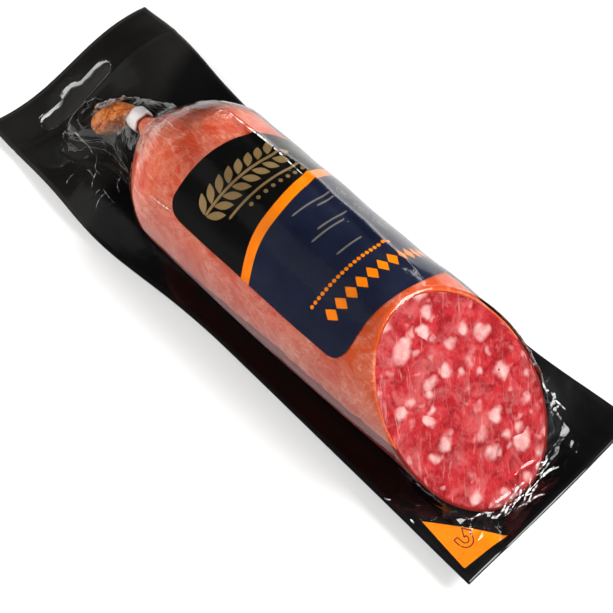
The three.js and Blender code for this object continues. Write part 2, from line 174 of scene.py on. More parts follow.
CUT_END_RADIUS = SAUSAGE_RADIUS - END_TAPER
NECK_X = -TOP_LENGTH / 2
FULL_X = NECK_X + SHOULDER_LENGTH
CUT_TOP_X = NECK_X + TOP_LENGTH
CASING_FLOOR = WEB_WALL + GAP
AXIS_Z = CASING_FLOOR + SAUSAGE_RADIUS - REST_FLAT
CUT_TOP_Z = AXIS_Z + CUT_END_RADIUS
TIP_X = CUT_TOP_X + CUT_RUN * (CUT_TOP_Z - CASING_FLOOR)
CLIP_X = NECK_X - CLIP_TO_NECK - CLIP_WIDTH
TAIL_START_X = CLIP_X - CLIP_TO_TAIL
TAIL_TIP_X = TAIL_START_X - TAIL_REACH
CUT_SLANT = math.hypot(1, 1 / CUT_RUN)
HANG_END_X = TAIL_TIP_X - HEADER_LENGTH
CUT_END_X = TIP_X + END_SEAL
SLOT_X = HANG_END_X + SLOT_TO_END
FILM_FLAT_X = TAIL_TIP_X - TAIL_RADIUS - FILM_FALL
SEAL_RIDGE_X = HANG_END_X + 16.0

# The CAD clip sits on the sausage's axis, so it says where the part's own coordinates lie in the frame.
clip_low, clip_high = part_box("clip")
ORIGIN = np.array([
    clip_low.x / MM - CLIP_X,
    (clip_low.y + clip_high.y) / 2 / MM - SAUSAGE_OFFSET,
    0.0,
])


def placed(points):
    """Points in metres, in the frame, from points in millimetres in the part's own coordinates."""
    return (np.asarray(points, float).reshape(-1, 3) + ORIGIN) * MM


# ---------------- maths


def lerp(a, b, t):
    return a + (b - a) * t


def stacked(*parts):
    """Points from their x, y and z."""
    return np.stack(np.broadcast_arrays(*parts), axis=-1)


def smooth(start, end, x):
    t = np.clip((x - start) / (end - start), 0, 1)
    return t * t * (3 - 2 * t)


def window(x, rise, full, fall, end):
    """Rises from 0 to 1 between `rise` and `full`, and falls back between `fall` and `end`."""
    return smooth(rise, full, x) * (1 - smooth(fall, end, x))


def bell(x, middle, width):
    return np.exp(-(((x - middle) / width) ** 2))


def soft_min(a, b, blend):
    h = np.maximum(blend - np.abs(a - b), 0) / blend
    return np.minimum(a, b) - h * h * blend / 4


def soft_max(a, b, blend):
    return -soft_min(-np.asarray(a), -np.asarray(b), blend)


def lattice(cells, seed):
    """A repeatable number between -1 and 1 for each cell of whole-numbered places."""
    x, y, z = (cells[..., k].astype(np.int64) for k in range(3))
    mixed = (x * 73856093) ^ (y * 19349663) ^ (z * 83492791) ^ (seed * 2654435761)
    mixed = (mixed ^ (mixed >> 13)) * 1274126177
    return ((mixed ^ (mixed >> 16)) & 0xFFFF) / 32767.5 - 1


def noise3(points, size, seed=0):
    """Smooth noise between about -1 and 1, with features about `size` across."""
    scaled = np.asarray(points, float) / size
    cell = np.floor(scaled)
    t = scaled - cell
    t = t * t * t * (t * (t * 6 - 15) + 10)
    total = 0.0
    for corner in np.ndindex(2, 2, 2):
        offset = np.array(corner)
        weight = np.prod(np.where(offset == 1, t, 1 - t), axis=-1)
        total = total + weight * lattice(cell + offset, seed)
    return total


# ---------------- shapes


def axis_y(x):
    return SAUSAGE_OFFSET + BEND * np.maximum(0, (x - FULL_X - BEND_START) / BEND_REACH) ** 2


def round_axis(x, radius, angle, floor=0.0):
    """Points at an angle from the top to +Y, no lower than `floor`."""
    z = np.maximum(AXIS_Z + radius * np.cos(angle), floor)
    return stacked(x, axis_y(x) + radius * np.sin(angle), z)


def body_radius(x, inset=0.0):
    taper = smooth(FULL_X + TAPER_START, CUT_TOP_X + TAPER_END, x)
    full = lerp(SAUSAGE_RADIUS, CUT_END_RADIUS, taper) - inset
    along = np.maximum(0, (FULL_X - x) / (SHOULDER_LENGTH - inset))
    return full * np.maximum(0, 1 - along**SHOULDER_CURVE) ** SHOULDER_TAPER


def cut_x(z):
    return CUT_TOP_X + CUT_RUN * (CUT_TOP_Z - z)


def cut_height(x):
    return CUT_TOP_Z - (x - CUT_TOP_X) / CUT_RUN


def tail_centre(t):
    bent = np.maximum(t, 0) ** 1.5
    y, z = SAUSAGE_OFFSET - TAIL_SWING * bent, AXIS_Z - TAIL_DROOP * bent
    return stacked(TAIL_START_X - TAIL_REACH * t, y, z)


def swell(x, angle):
    """How far the skin swells or sinks, and what lies on it with it, at an angle from the top to +Y."""
    nominal = stacked(x, SAUSAGE_RADIUS * np.sin(angle), SAUSAGE_RADIUS * np.cos(angle))
    broad = SWELL_HEIGHT * noise3(nominal, 27, 3) + FINE_SWELL_HEIGHT * noise3(nominal, 12, 5) - 0.05
    facet = bell(angle, math.radians(52), math.radians(19)) * label_window(x)
    upper = 1 - smooth(math.radians(92), math.radians(112), np.abs(angle))
    return (broad - FACET_DEPTH * facet) * upper * smooth(NECK_X + 3, FULL_X, x)


def crease(x, angle):
    """How far the film and its ink stand off along the sharp fold beside the crown."""
    along = SAUSAGE_RADIUS * angle - CREASE_S - 0.9 * np.sin(x / 9) - 0.4 * np.sin(x / 3.7)
    return CREASE_HEIGHT * np.exp(-np.abs(along / 1.5) ** 1.5) * label_window(x)


def label_window(x):
    return window(x, LABEL_START_X - 12, LABEL_START_X + 8, LABEL_END_X - 14, LABEL_END_X)


def flange_height(x, y):
    header = smooth(TAIL_START_X, TAIL_START_X - WAVE_REACH, x)
    easing = 1 - WAVE_EASING * smooth(SLOT_X + SLOT_WIDTH / 2, HANG_END_X, x)
    swing = np.cos(2 * math.pi * (y - WAVE_LOW_Y) / WAVE_PITCH)
    wave = lerp(HEADER_LIFT, HEADER_CLEARANCE - FLANGE_HEIGHT, (1 + swing) / 2)
    dip = END_DIP * smooth(TIP_X - END_DIP_REACH, TIP_X + 3, x) * bell(y, END_DIP_Y, END_DIP_WIDTH)
    outer = smooth(SIDE_SAG_INSIDE - PACK_WIDTH / 2, -SIDE_SAG_OUTSIDE - PACK_WIDTH / 2, y)
    sag = SIDE_SAG * bell(x, NECK_X + SIDE_X, SIDE_SAG_LENGTH) * outer
    ridge = SEAL_RIDGE_HEIGHT * bell(x - SEAL_RIDGE_X - 0.03 * y, 0, 0.7)
    return FLANGE_HEIGHT + header * easing * wave - dip - sag + ridge


def trough_height(x, y):
    radius = body_radius(x) + GAP
    side = y - axis_y(x)
    drop = np.sqrt(np.maximum(radius * radius - side * side, 0))
    ramp = WEB_WALL + (x - TIP_X - 0.5) * RAMP_SLOPE
    return np.maximum(np.maximum(AXIS_Z - drop, WEB_WALL), ramp)


def web_height(x, y):
    return np.maximum(WEB_WALL, soft_min(flange_height(x, y), trough_height(x, y), LIP_ROUNDING))


def side_edge(x, side):
    half = PACK_WIDTH / 2
    if side < 0:
        bulge = SIDE_BULGE * bell(x, NECK_X + SIDE_X, SIDE_BULGE_LENGTH)
        return -(half + bulge - SIDE_TRIM * smooth(FULL_X, FULL_X + SIDE_TRIM_REACH, x))
    lead, end = DRAWN_IN_LEAD, DRAWN_IN_END
    return half - DRAWN_IN * window(x, TAIL_TIP_X - lead, FULL_X - lead, TIP_X - end, CUT_END_X)


def film_share(x):
    """How much of the film's height over the web is left at x, where it falls to the header."""
    return smooth(FILM_FLAT_X, FILM_FLAT_X + FILM_FALL, x)


def film_core(x):
    """What the film is drawn over at x: its middle y and z, and its radius."""
    t = np.clip((TAIL_START_X - x) / TAIL_REACH, 0, 1)
    if x > TAIL_START_X:
        middle_y, middle_z = axis_y(x), AXIS_Z
    else:
        _, middle_y, middle_z = tail_centre(t)
    steepness = math.hypot(1, 1.5 * TAIL_DROOP * math.sqrt(t) / TAIL_REACH)
    tail = TAIL_RADIUS * TAIL_FOLD * steepness + TAIL_MARGIN
    tent = lerp(TENT_TOP, tail, smooth(NECK_X + TENT_START, TAIL_START_X - TENT_END, x))
    body = body_radius(x)
    tented = float(soft_max(body, tent, TENT_BLEND)) if x < FULL_X else body
    return middle_y, middle_z, max(tented, body)


def foot_half_width(x, radius):
    drop = AXIS_Z - FLANGE_HEIGHT
    chord = math.sqrt(max(0, radius * radius - drop * drop))
    flare = FOOT_FLARE * smooth(TIP_X - FLARE_START, TIP_X - FLARE_FULL, x)
    return float(soft_max(chord + FOOT_MARGIN, TENT_FOOT, TENT_ROUNDING)) + flare


def evenly_along(path, steps):
    """Points at even distances along a path."""
    lengths = np.concatenate([[0], np.cumsum(np.hypot(*np.diff(path, axis=0).T))])
    at = np.linspace(0, lengths[-1], steps + 1)
    return np.stack([np.interp(at, lengths, path[:, k]) for k in range(2)], axis=1)


FLAT_STEPS = 16
WALL_STEPS = 44
TOP_STEPS = 44
CROWN = math.pi / 5


def film_row(x, lift):
    """One row of the film at x from the -Y edge to the +Y edge, lying `lift` off what it covers."""
    middle_y, middle_z, radius = film_core(x)
    radius = radius + lift
    cut = cut_height(x) + (lift - FILM_LIFT + CUT_LIFT) * CUT_SLANT

    def ground(y):
        return web_height(x, y) + SEAL_LIFT

    def lowered(y, z):
        return np.maximum(ground(y), lerp(ground(y), z, film_share(x)))

    below = np.clip(cut - middle_z, FLANGE_HEIGHT - AXIS_Z, radius)
    corner = max(math.acos(below / radius), CROWN)
    corner_across = radius * math.sin(corner)
    corner_z = min(middle_z + radius * math.cos(corner), cut)
    half = foot_half_width(x, radius - lift) + 0.5 * lift

    def wall(side):
        foot_z = float(ground(middle_y + side * half))
        drop = foot_z - middle_z
        leave = math.atan2(half, drop) - math.acos(min(1, radius / math.hypot(half, drop)))
        path = [(half, foot_z)]
        if leave > corner:
            for angle in np.linspace(leave, corner, 60):
                z = middle_z + radius * math.cos(angle)
                if z < cut:
                    path.append((radius * math.sin(angle), z))
        path.append((corner_across, corner_z))
        points = evenly_along(np.array(path), WALL_STEPS)
        y = middle_y + side * points[:, 0]
        return np.stack([y, lowered(y, points[:, 1])], axis=1)

    left = wall(-1)
    right = wall(1)[::-1]
    share = np.linspace(-1, 1, TOP_STEPS + 1)[1:-1]
    across = corner_across * np.sin(share * CROWN) / math.sin(CROWN)
    arc_z = middle_z + np.sqrt(np.maximum(0, radius * radius - across * across))
    top_y = middle_y + across
    top = np.stack([top_y, lowered(top_y, np.minimum(arc_z, cut))], axis=1)
    edges = [float(side_edge(x, side)) - side * FILM_INSET for side in (-1, 1)]

    def flat(start, end):
        y = np.linspace(start, end, FLAT_STEPS + 1)
        return np.stack([y, ground(y)], axis=1)

    row = np.concatenate([
        flat(edges[0], left[0, 0])[:-1], left, top, right, flat(right[-1, 0], edges[1])[1:]
    ])
    even = smooth(FILM_FLAT_X, HANG_END_X, x)
    if even > 0:
        spread = np.linspace(edges[0], edges[1], len(row))
        y = lerp(row[:, 0], spread, even)
        row = np.stack([y, ground(y)], axis=1)
    return np.column_stack([np.full(len(row), x), row])


def unit(vectors):
    return vectors / np.maximum(np.linalg.norm(vectors, axis=-1, keepdims=True), 1e-9)


def grid_normals(grid):
    return unit(np.cross(np.gradient(grid, axis=0), np.gradient(grid, axis=1)))


def ridged(points, size, seed):
    """Sharp creases: 1 along the zero lines of the noise, falling off to 0."""
    return np.maximum(0, 1 - 4.5 * np.abs(noise3(points, size, seed))) ** 1.4


def ease_foot(grid):
    """The film with its sharp foot, where it turns from the sausage to the web, drawn into a curve."""
    x, y, z = np.moveaxis(grid, -1, 0)
    ground = web_height(x, y) + SEAL_LIFT
    near_foot = bell(z - ground, 0, 2.2) * film_share(x)
    for _ in range(14):
        beside = (z[:-2, 1:-1] + z[2:, 1:-1] + z[1:-1, :-2] + z[1:-1, 2:]) / 4
        z[1:-1, 1:-1] = lerp(z[1:-1, 1:-1], beside, near_foot[1:-1, 1:-1])
        z = np.maximum(z, ground)
    return stacked(x, y, z)


def film_sheet(xs):
    """The film as rows of points, with the swells, creases and crinkles it has over the sausage."""
    grid = ease_foot(np.array([film_row(x, FILM_LIFT) for x in xs]))
    x, y, z = np.moveaxis(grid, -1, 0)
    angle = np.arctan2(y - axis_y(x), z - AXIS_Z)
    across = y - axis_y(x)
    below_cut = 1 - smooth(-1.6, -0.2, z - cut_height(x) - CUT_LIFT * CUT_SLANT)
    on_round = below_cut * (1 - smooth(1.5, 2.0, np.abs(angle)))
    raised = smooth(0.6, 2.5, z - web_height(x, y))

    # Loose folds about the tail, mostly on its -Y side, and long pulls from the clip over the shoulder.
    near_tail = window(x, FILM_FLAT_X - 3, FILM_FLAT_X + 6, NECK_X - 1, NECK_X + 9)
    near_tail = near_tail * lerp(1, 0.15, smooth(-4, 4, across)) * (1 - smooth(24, 30, np.abs(across)))
    folds = TAIL_FOLD_HEIGHT * (ridged(grid * [0.7, 1.1, 1], 10, 11) + 0.5 * ridged(grid, 5, 12))
    loose = near_tail * lerp(0.3, 1, raised) * folds
    polar = stacked(7 * angle + 0.03 * x, 0.09 * x, 0)
    pulled = window(x, CLIP_X, NECK_X + 8, NECK_X + 20, NECK_X + 44) * raised
    pulls = pulled * (PULL_HEIGHT * ridged(polar, 1, 17) + FINE_PULL_HEIGHT * ridged(polar, 0.45, 18))

    # Crinkles where it is drawn in round the lip of the cut.
    lip = window(x, TIP_X - 7, TIP_X - 3, TIP_X + 1, TIP_X + 5)
    lip = lip * (1 - smooth(16, 24, np.abs(across)))
    corners = bell(x, TIP_X - 20, 9) * bell(np.abs(across), 26, 3)
    shirred = LIP_CRINKLE_HEIGHT * (ridged(grid * [1.3, 0.8, 1], 4.5, 13) + 0.5 * ridged(grid, 2.3, 14))
    drawn_in = np.maximum(lip, 0.7 * corners) * shirred
    over_cut = OVER_CUT_HEIGHT * smooth(CUT_TOP_X, CUT_TOP_X + 9, x) * (1 - below_cut) * ridged(grid, 16, 16)
    amount = (swell(x, angle) + crease(x, angle)) * on_round + loose + pulls + drawn_in + over_cut
    share = np.linspace(0, 1, grid.shape[1])
    inner = window(share, 0, 0.03, 0.97, 1)
    return grid + grid_normals(grid) * (amount * inner)[..., None]


# ---------------- mesh building


def grid_faces(rows, columns, wrap=False):
    """Quads over a grid of points, rows by columns."""
    last = columns if wrap else columns - 1
    i, j = np.meshgrid(np.arange(rows - 1), np.arange(last), indexing="ij")
    k = (j + 1) % columns
    quads = [i * columns + j, (i + 1) * columns + j, (i + 1) * columns + k, i * columns + k]
    return np.stack(quads, axis=-1).reshape(-1, 4)


def linked(name, data):
    """An object in the scene that holds `data`."""
    made = bpy.data.objects.new(name, data)
    bpy.context.scene.collection.objects.link(made)
    return made


def piece(name, points, faces, material, slot, uv=None):
    """A smooth-shaded piece of the object from points in millimetres."""
    mesh = bpy.data.meshes.new(name)
    mesh.from_pydata(placed(points).tolist(), [], [[int(k) for k in face] for face in faces])
    mesh.polygons.foreach_set("use_smooth", [True] * len(mesh.polygons))
    if uv is not None:
        layer = mesh.uv_layers.new(name="along")
        corners = np.empty(len(mesh.loops), int)
        mesh.loops.foreach_get("vertex_index", corners)
        layer.data.foreach_set("uv", np.asarray(uv, float)[corners].ravel())
    mesh.materials.append(material)
    made = linked(name, mesh)
    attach(made, "root")
    return made


def loft(rings):
    """Points and faces of a closed body through rings, closed at both ends."""
    grid = np.array(rings)
    count = grid.shape[1]
    points = np.vstack([grid.reshape(-1, 3), grid[0].mean(axis=0), grid[-1].mean(axis=0)])
    faces = grid_faces(*grid.shape[:2], wrap=True).tolist()
    last = (len(rings) - 1) * count
    first = len(points) - 2
    for j in range(count):
        k = (j + 1) % count
        faces.append([j, k, first])
        faces.append([last + k, last + j, first + 1])
    return points, faces


def slab(top, faces, thickness):
    """A closed sheet: the top face, the same face lower down, and walls round every edge."""
    count = len(top)
    points = np.vstack([top, top - [0, 0, thickness]])
    faces = [list(map(int, face)) for face in faces]
    edges = {}
    for face in faces:
        for a, b in zip(face, face[1:] + face[:1]):
            edges[(a, b)] = edges.get((a, b), 0) + 1
    walls = [[b, a, a + count, b + count] for a, b in edges if (b, a) not in edges]
    under = [[k + count for k in reversed(face)] for face in faces]
    return points, faces + under + walls


def slot_distance(x, y):
    """Distance outside the hang slot's outline; negative inside it."""
    end = SLOT_WIDTH / 2
    straight = SLOT_LENGTH / 2 - end
    across = np.maximum(np.abs(y - SLOT_Y) - straight, 0)
    capsule = np.hypot(x - SLOT_X, across) - end
    bump_x = SLOT_X + SLOT_BUMP_RADIUS - end - SLOT_BUMP
    bump = np.hypot(x - bump_x, y - SLOT_Y) - SLOT_BUMP_RADIUS
    return np.minimum(capsule, np.maximum(bump, x - SLOT_X))


def open_slot(points, faces, pitch, height):
    """A sheet with the hang slot left open: points near its outline move onto it."""
    x, y = points[:, 0], points[:, 1]
    step = 0.01
    for _ in range(3):
        away = slot_distance(x, y)
        slope_x = (slot_distance(x + step, y) - away) / step
        slope_y = (slot_distance(x, y + step) - away) / step
        near = np.abs(away) < 0.55 * pitch
        x = np.where(near, x - away * slope_x, x)
        y = np.where(near, y - away * slope_y, y)
    moved = np.hypot(x - points[:, 0], y - points[:, 1]) > 1e-6
    z = np.where(moved, height(x, y), points[:, 2])
    faces = np.asarray(faces)
    faces = faces[slot_distance(x[faces].mean(axis=1), y[faces].mean(axis=1)) > -0.06]
    used = np.unique(faces)
    renumber = np.zeros(len(points), int)
    renumber[used] = np.arange(len(used))
    return np.column_stack([x, y, z])[used], renumber[faces]


# ---------------- materials


class Material:
    """A node material under construction. Places read from it are in millimetres."""

    def __init__(self, name):
        self.material = bpy.data.materials.new(name)
        self.material.use_nodes = True
        self.tree = self.material.node_tree
        self.tree.nodes.clear()
        self.output = self.tree.nodes.new("ShaderNodeOutputMaterial")
        coordinates = self.node("TexCoord").outputs
        self.place = self.vector("SCALE", coordinates["Object"], scale=1 / MM)
        self.uv = coordinates["UV"]

    def node(self, kind, inputs=(), **settings):
        made = self.tree.nodes.new("ShaderNode" + kind)
        for key, value in settings.items():
            setattr(made, key, value)
        for key, value in dict(inputs).items():
            self.feed(made.inputs[key], value)
        return made

    def feed(self, socket, value):
        if isinstance(value, bpy.types.NodeSocket):
            self.tree.links.new(value, socket)
        elif isinstance(value, tuple) and len(value) == 3 and socket.type == "RGBA":
            socket.default_value = (*value, 1)
        else:
            socket.default_value = value

    def vector(self, operation, a, b=None, scale=None):
        made = self.node("VectorMath", {0: a}, operation=operation)
        if b is not None:
            self.feed(made.inputs[1], b)
        if scale is not None:
            self.feed(made.inputs["Scale"], scale)
        return made.outputs["Value" if operation == "DOT_PRODUCT" else "Vector"]

    def math(self, operation, a, b=0.0, c=0.0):
        return self.node("Math", {0: a, 1: b, 2: c}, operation=operation).outputs[0]

    def times(self, a, b):
        return self.math("MULTIPLY", a, b)

    def ramp(self, value, start, end, low=0.0, high=1.0):
        inputs = {"Value": value, "From Min": start, "From Max": end, "To Min": low, "To Max": high}
        return self.node("MapRange", inputs, interpolation_type="SMOOTHSTEP").outputs["Result"]

    def noise(self, size, detail=3.0, roughness=0.55, distortion=0.0, vector=None, color=False):
        inputs = {"Vector": vector or self.place, "Scale": 1 / size, "Detail": detail,
                  "Roughness": roughness, "Distortion": distortion}
        return self.node("TexNoise", inputs).outputs["Color" if color else "Fac"]

    def stretched(self, x, y, z):
        return self.vector("MULTIPLY", self.place, (x, y, z))

    def mix(self, share, a, b):
        made = self.node("Mix", data_type="RGBA")
        self.feed(made.inputs[0], share)
        self.feed(made.inputs[6], a)
        self.feed(made.inputs[7], b)
        return made.outputs[2]

    def blobs(self, vector, size, amount, edge):
        """Scattered blobs, `amount` of the cells holding one, with soft edges."""
        cell = self.node("TexVoronoi", {"Vector": vector, "Scale": 1 / size})
        chance = self.node("SeparateColor", {0: cell.outputs["Color"]}).outputs
        reach = self.math("MULTIPLY_ADD", chance[1], 0.22, 0.26)
        inside = self.math("SUBTRACT", reach, cell.outputs["Distance"])
        solid = self.ramp(inside, 0.0, edge)
        return self.times(solid, self.math("GREATER_THAN", chance[0], 1 - amount))

    def bump(self, height, distance, strength=1.0, normal=None):
        inputs = {"Height": height, "Distance": distance * MM, "Strength": strength}
        if normal is not None:
            inputs["Normal"] = normal
        return self.node("Bump", inputs).outputs[0]

    def finish(self, shader):
        self.tree.links.new(shader, self.output.inputs[0])
        return self.material

    def principled(self, color, roughness, normal=None, **more):
        inputs = {"Base Color": color, "Roughness": roughness, **more}
        if normal is not None:
            inputs["Normal"] = normal
        return self.finish(self.node("BsdfPrincipled", inputs).outputs[0])


def web_material():
    make = Material("black_web")
    grain = make.noise(0.35, 2)
    waves = make.noise(14, 2)
    scuffs = make.ramp(make.noise(5, 4, vector=make.stretched(0.25, 1, 1)), 0.6, 0.8)
    roughness = make.math("MULTIPLY_ADD", scuffs, 0.12, make.ramp(grain, 0.3, 0.7, 0.13, 0.2))
    color = make.mix(make.noise(20, 4), (0.0025, 0.0025, 0.003), (0.006, 0.0056, 0.006))

    # Painted sheen: the header, where the films lie sealed together, is painted greyer than the web beside
    # the sausage, in soft waves, for the grey sheen it reflects.
    place = make.node("SeparateXYZ", {0: make.place}).outputs
    slanted = make.math("MULTIPLY_ADD", place[1], 0.45, place[0])
    header = make.ramp(slanted, ORIGIN[0] + TAIL_TIP_X + 12, ORIGIN[0] + TAIL_TIP_X + 3)
    color = make.mix(header, color, make.mix(waves, (0.011, 0.0105, 0.0095), (0.021, 0.020, 0.018)))
    normal = make.bump(waves, 0.25, normal=make.bump(grain, 0.006))
    return make.principled(color, roughness, normal, IOR=1.45)


def film_material():
    make = Material("clear_film")
    ripples = make.noise(3.2, 3, 0.5, 0.6)
    pulls = make.ramp(make.noise(1.1, 2, 0.5, 1.5, vector=make.stretched(1, 0.35, 0.6)), 0.35, 0.7)
    roughness = make.ramp(make.noise(9, 3), 0.35, 0.7, 0.03, 0.07)
    normal = make.bump(ripples, 0.06, normal=make.bump(pulls, 0.01))
    clear = make.node("BsdfTransparent")
    gloss = make.node("BsdfAnisotropic", {"Roughness": roughness, "Normal": normal})
    fresnel = make.node("Fresnel", {"IOR": 1.5, "Normal": normal})
    mixed = make.node("MixShader", {0: fresnel.outputs[0], 1: clear.outputs[0], 2: gloss.outputs[0]})
    return make.finish(mixed.outputs[0])


def casing_material():
    make = Material("cured_casing")
    broad = make.noise(21, 3, 0.55, 0.8)
    mottle = make.noise(5.5, 6, 0.62, 0.9)
    tone = make.math("MULTIPLY_ADD", mottle, 0.65, make.times(broad, 0.45))
    color = make.mix(make.ramp(tone, 0.42, 0.68), (0.60, 0.060, 0.016), (0.68, 0.145, 0.070))

    # Warmer towards the cut.
    x = make.node("SeparateXYZ", {0: make.place}).outputs
    local_x = make.math("SUBTRACT", x[0], float(ORIGIN[0]))
    cut = make.math("MULTIPLY_ADD", x[2], -CUT_RUN, CUT_TOP_X + CUT_TOP_Z * CUT_RUN)
    from_cut = make.math("SUBTRACT", local_x, cut)
    edge = make.ramp(make.math("MULTIPLY_ADD", make.noise(7, 4), 22, from_cut), -12, 8, 0, 0.9)
    color = make.mix(edge, color, (0.68, 0.10, 0.018))

    # Pale marbling under the skin, in wisps and veins, with fine fibres across it.
    wisp = make.noise(15, 6, 0.66, 0.9)
    veins = make.ramp(make.math("ABSOLUTE", make.math("SUBTRACT", wisp, 0.5)), 0.05, 0.0)
    fibres = make.ramp(make.noise(0.75, 3, 0.65, 0.5, vector=make.stretched(0.4, 1, 1)), 0.42, 0.60)
    haze = make.ramp(make.noise(11, 5, 0.7, 0.6), 0.44, 0.64)
    misty = make.times(haze, make.math("MULTIPLY_ADD", fibres, 0.75, 0.25))
    pale = make.math("MAXIMUM", make.times(veins, 0.4), misty)
    color = make.mix(make.times(pale, 0.8), color, (0.80, 0.38, 0.27))

    # Long folds of the skin that run from the clip over the shoulder: bumped, and painted paler along them
    # as a painted highlight.
    gathers = make.noise(1, 4, 0.6, 1.2, vector=make.vector("MULTIPLY", make.uv, (34.0, 9.0, 1.0)))
    near_neck = make.ramp(local_x, FULL_X + 14, NECK_X + 14)
    wrinkles_and_highlight = make.times(make.ramp(gathers, 0.5, 0.64), near_neck)
    color = make.mix(make.times(wrinkles_and_highlight, 0.6), color, (0.90, 0.52, 0.38))

    # Painted shade: darker red low under the bulge, where the casing curves under and the film leaves it.
    # Brown at the tail.
    painted_shade_z = make.ramp(local_x, -20, 38, AXIS_Z - 2.6, AXIS_Z + 2.6)
    ragged_shade_z = make.math("MULTIPLY_ADD", make.noise(4, 5, 0.6, vector=make.stretched(0.7, 0, 0)), 4.5, painted_shade_z)
    painted_shade = make.ramp(make.math("SUBTRACT", ragged_shade_z, x[2]), 1.9, 2.3)
    color = make.mix(painted_shade, color, (0.24, 0.008, 0.004))
    tail = make.ramp(local_x, CLIP_X + 2, CLIP_X - 1)
    patchy = make.ramp(make.noise(1.8, 4, 0.6, 1), 0.4, 0.65)
    brown = make.mix(patchy, (0.56, 0.11, 0.008), (0.82, 0.33, 0.09))
    color = make.mix(tail, color, brown)

    roughness = make.ramp(mottle, 0.35, 0.7, 0.34, 0.52)
    coarse = make.math("MULTIPLY_ADD", wrinkles_and_highlight, 0.6, mottle)
    height = make.math("MULTIPLY_ADD", fibres, 0.25, coarse)
    return make.principled(color, roughness, make.bump(height, 0.32), IOR=1.28)


def meat_material():
    make = Material("minced_meat")
    uneven = make.vector("SUBTRACT", make.noise(4.6, 2, 0.45, color=True), (0.5, 0.5, 0.5))
    wobble = make.vector("SCALE", uneven, scale=4.2)
    warped = make.vector("ADD", make.place, wobble)
    shifted = make.vector("ADD", warped, (31.0, 7.0, 13.0))
    large = make.blobs(warped, 9.0, 0.75, 0.2)
    middle = make.blobs(shifted, 6.2, 0.55, 0.24)
    small = make.blobs(make.vector("ADD", warped, (3.0, 51.0, 19.0)), 3.4, 0.3, 0.3)
    fat = make.math("MAXIMUM", make.math("MAXIMUM", large, middle), make.times(small, 0.5))

    # Smears drawn up and down the face by the knife.
    down = np.array([CUT_RUN, 0.0, -1.0]) / math.hypot(1, CUT_RUN)
    sideways = np.array([0.0, 1.0, 0.0])
    lean_over = math.radians(28)
    drawn_down = math.cos(lean_over) * down - math.sin(lean_over) * sideways
    drawn_across = math.cos(lean_over) * sideways + math.sin(lean_over) * down
    along = make.vector("DOT_PRODUCT", make.place, tuple(drawn_down))
    across = make.vector("DOT_PRODUCT", make.place, tuple(drawn_across))
    drawn = make.node("CombineXYZ", {0: make.times(along, 0.16), 1: across}).outputs[0]
    smears = make.ramp(make.noise(1.5, 4, 0.6, 0.9, vector=drawn), 0.56, 0.74)
    grain = make.noise(2.2, 5, 0.65, 0.6)
    depth = make.ramp(make.noise(6, 4, 0.6, 0.8), 0.38, 0.62)
    lean = make.mix(depth, (0.30, 0.004, 0.009), (0.50, 0.022, 0.03))
    lean = make.mix(make.ramp(grain, 0.45, 0.72, 0, 0.75), lean, (0.56, 0.085, 0.09))
    mist = make.ramp(make.noise(10, 5, 0.66, 0.9), 0.46, 0.66, 0, 0.5)
    lean = make.mix(mist, lean, (0.66, 0.20, 0.195))
    lean = make.mix(make.times(smears, 0.55), lean, (0.80, 0.36, 0.33))
    white = make.mix(make.ramp(make.noise(3, 3), 0.35, 0.65), (0.84, 0.58, 0.54), (0.70, 0.33, 0.32))
    color = make.mix(make.times(fat, 0.93), lean, white)

    roughness = make.ramp(fat, 0, 1, 0.36, 0.46)
    height = make.math("MULTIPLY_ADD", fat, 0.5, make.math("MULTIPLY_ADD", smears, 0.3, grain))
    return make.principled(color, roughness, make.bump(height, 0.22), IOR=1.25)


def clip_material():
    make = Material("clip_aluminium")
    brushed = make.noise(0.4, 3, 0.6, vector=make.stretched(1, 0.12, 0.12))
    color = make.mix(brushed, (0.90, 0.90, 0.89), (0.97, 0.97, 0.96))
    roughness = make.ramp(brushed, 0.35, 0.65, 0.42, 0.56)
    return make.principled(color, roughness, make.bump(brushed, 0.03), Metallic=0.3)


def ink_material(name, dark, light, roughness=0.42, metallic=0.0):
    """Printing ink: a fine screen of dots, a slow drift of tone and a slightly uneven surface."""
    make = Material(name)
    drift = make.noise(9, 3)
    screen = make.noise(0.3, 2)
    tone = make.math("MULTIPLY_ADD", screen, 0.4, make.times(drift, 0.6))
    color = make.mix(make.ramp(tone, 0.35, 0.65), dark, light)
    rough = make.ramp(drift, 0.3, 0.7, roughness - 0.06, roughness + 0.06)
    return make.principled(color, rough, make.bump(drift, 0.2), Metallic=metallic, IOR=1.2)


# ---------------- the pack


def spread(start, end, pitch):
    return np.linspace(start, end, max(2, math.ceil(abs(end - start) / pitch) + 1))


def make_web(material):
    pitch = 0.75
    xs = np.concatenate([
        spread(HANG_END_X, FILM_FLAT_X, pitch)[:-1],
        spread(FILM_FLAT_X, TIP_X - 12, 1.3)[:-1],
        spread(TIP_X - 12, CUT_END_X, 0.8),
    ])
    share = np.linspace(0, 1, round(PACK_WIDTH / pitch) + 1)
    grid = []
    for x in xs:
        y = lerp(float(side_edge(x, -1)), float(side_edge(x, 1)), share)
        grid.append(np.column_stack([np.full(len(y), x), y, web_height(x, y)]))
    top = np.array(grid)
    sheet = open_slot(top.reshape(-1, 3), grid_faces(*top.shape[:2]), pitch, web_height)
    web = piece("web", *slab(*sheet, WEB_WALL), material, "web_film")
    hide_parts("base_web")


